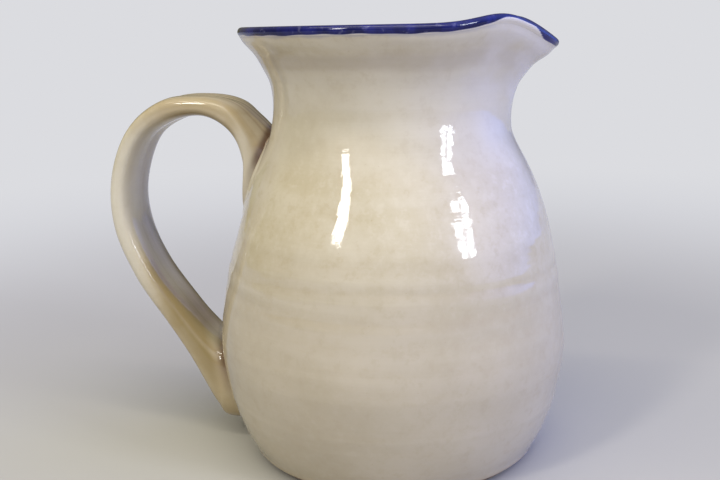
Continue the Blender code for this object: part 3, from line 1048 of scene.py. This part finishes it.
def make_camera():
    data = bpy.data.cameras.new("camera")
    data.lens = CAMERA_LENS
    data.sensor_width = 36.0
    data.clip_start = 0.01
    camera = bpy.data.objects.new("camera", data)
    bpy.context.scene.collection.objects.link(camera)
    turn = np.radians(CAMERA_TURN)
    spot = Vector((CAMERA_DISTANCE * np.sin(turn), -CAMERA_DISTANCE * np.cos(turn), CAMERA_HEIGHT))
    camera.matrix_world = (
        Matrix.Translation(spot)
        @ Matrix.Rotation(np.radians(CAMERA_TURN + CAMERA_AIM_LEFT), 4, "Z")
        @ Matrix.Rotation(np.radians(90.0 - CAMERA_PITCH), 4, "X")
        @ Matrix.Rotation(np.radians(CAMERA_ROLL), 4, "Z")
    )
    bpy.context.scene.camera = camera


# The floor in metres: half its size, and the distances over which it pales and fades into the backdrop.
FLOOR_HALF_SIZE = 6.0
FLOOR_PALES = (0.24, 0.75)
FLOOR_FADES = (0.22, 0.90)
NEAR_FLOOR = (0.430, 0.415, 0.380)
FAR_FLOOR = (0.580, 0.570, 0.520)
BACKDROP = (0.710, 0.715, 0.745)


def make_floor():
    """Large pale floor that fades into the backdrop far away."""
    mesh = bpy.data.meshes.new("floor")
    size = FLOOR_HALF_SIZE
    mesh.from_pydata(
        [(-size, -size, 0.0), (size, -size, 0.0), (size, size, 0.0), (-size, size, 0.0)],
        [], [(0, 1, 2, 3)],
    )
    floor = bpy.data.objects.new("floor", mesh)
    bpy.context.scene.collection.objects.link(floor)
    n = glaze_tree("pale_floor")
    where = n.tree.nodes.new("ShaderNodeTexCoord").outputs["Object"]
    distance = n.vector_math("LENGTH", where, where).outputs["Value"]
    tone = n.mix(n.ramp(distance, *FLOOR_PALES), NEAR_FLOOR, FAR_FLOOR)
    haze = n.times(n.ramp(distance, *FLOOR_FADES), n.camera_ray())
    tone = n.mix(haze, tone, BLACK)
    n.set(Emission_Color=colour(BACKDROP), Emission_Strength=haze, Specular_IOR_Level=0.0)
    mesh.materials.append(n.set(Base_Color=tone, Roughness=0.9))


def direction(azimuth, elevation):
    """Unit vector from the pitcher towards an azimuth and elevation in degrees."""
    a = np.radians(azimuth)
    e = np.radians(elevation)
    return Vector((np.cos(a) * np.cos(e), np.sin(a) * np.cos(e), np.sin(e)))


def panel(name, azimuth, elevation, distance, width, height, brightness, tint):
    """Rectangular light; width and height are angles in degrees seen from the pitcher."""
    data = bpy.data.lights.new(name, "AREA")
    data.shape = "RECTANGLE"
    data.size = 2 * distance * np.tan(np.radians(width / 2))
    data.size_y = 2 * distance * np.tan(np.radians(height / 2))
    data.energy = brightness * np.pi * data.size * data.size_y
    data.color = tint
    lamp = bpy.data.objects.new(name, data)
    toward = direction(azimuth, elevation)
    lamp.location = PITCHER_CENTRE + toward * distance
    lamp.rotation_mode = "QUATERNION"
    lamp.rotation_quaternion = toward.to_track_quat("Z", "Y")
    lamp.visible_camera = False
    bpy.context.scene.collection.objects.link(lamp)


# Panels: azimuth, elevation, distance, width, height, brightness, tint.  The far window has six panes.
NARROW_WINDOW = (-120.5, 36.3, 1.6, 6.3, 19.0, 28.0, (1.0, 0.97, 0.92))
FIRST_PANE = (-26.8, 17.8)
PANE_STEPS = (6.5, 6.2)
PANE = (1.8, 4.4, 4.7, 26.0, (0.86, 0.92, 1.0))
HIGH_LAMP = (-95.0, 72.0, 1.6, 70.0, 3.8, 16.0, (1.0, 0.93, 0.80))


def make_lights():
    panel("narrow_window", *NARROW_WINDOW)
    for row in range(3):
        for side in range(2):
            azimuth = FIRST_PANE[0] + PANE_STEPS[0] * side
            elevation = FIRST_PANE[1] + PANE_STEPS[1] * row
            panel(f"pane_{row}_{side}", azimuth, elevation, *PANE)
    panel("high_lamp", *HIGH_LAMP)


# Soft lights of the room: (turn, elevation, tightness, colour).
ROOM_LIGHTS = (
    (-62.0, 66.0, 4.5, (1.08, 1.11, 0.93)),
    (-72.0, 34.0, 12.0, (0.70, 0.70, 0.74)),
    (5.0, 34.0, 5.0, (0.10, 0.20, 1.70)),
    (27.0, 8.0, 8.0, (0.50, 0.80, 2.10)),
    (150.0, 25.0, 4.0, (0.15, 0.13, 0.04)),
    (0.0, 90.0, 2.0, (0.20, 0.20, 0.16)),
)
ROOM_BASE = (0.065, 0.065, 0.030)


def make_world():
    """Soft lights around the pitcher, over a dim room; the camera itself sees a plain pale backdrop."""
    world = bpy.data.worlds.new("room")
    bpy.context.scene.world = world
    n = Nodes(world)
    where = n.tree.nodes.new("ShaderNodeTexCoord").outputs["Generated"]
    total = colour(ROOM_BASE)
    for azimuth, elevation, tightness, tint in ROOM_LIGHTS:
        facing = n.vector_math("DOT_PRODUCT", where, direction(azimuth, elevation)).outputs["Value"]
        power = n.times(n.math("SUBTRACT", facing, 1.0), tightness)
        glow = n.mix(1.0, n.math("EXPONENT", power), tint, "MULTIPLY")
        total = n.mix(1.0, total, glow, "ADD")
    total = n.mix(n.camera_ray(), total, BACKDROP)
    n.feed(n.shader.inputs["Color"], total)


make_pot_glaze().data.materials.append(pot_glaze_material())
make_rim_band().data.materials.append(cobalt_material())
make_liner().data.materials.append(liner_material())
clay = clay_material("bare_clay", CLAY, DARK_CLAY)
make_clay().data.materials.append(clay)
make_strap_clay().data.materials.append(clay)
make_strap().data.materials.append(strap_material())

slip = clay_material("fired_slip", SLIP, DARK_SLIP)
for node in ("upper_slip_joint", "lower_slip_joint"):
    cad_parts[node].material_slots[0].material = slip

make_floor()
make_camera()
make_lights()
make_world()
bpy.context.scene.view_settings.view_transform = "Standard"
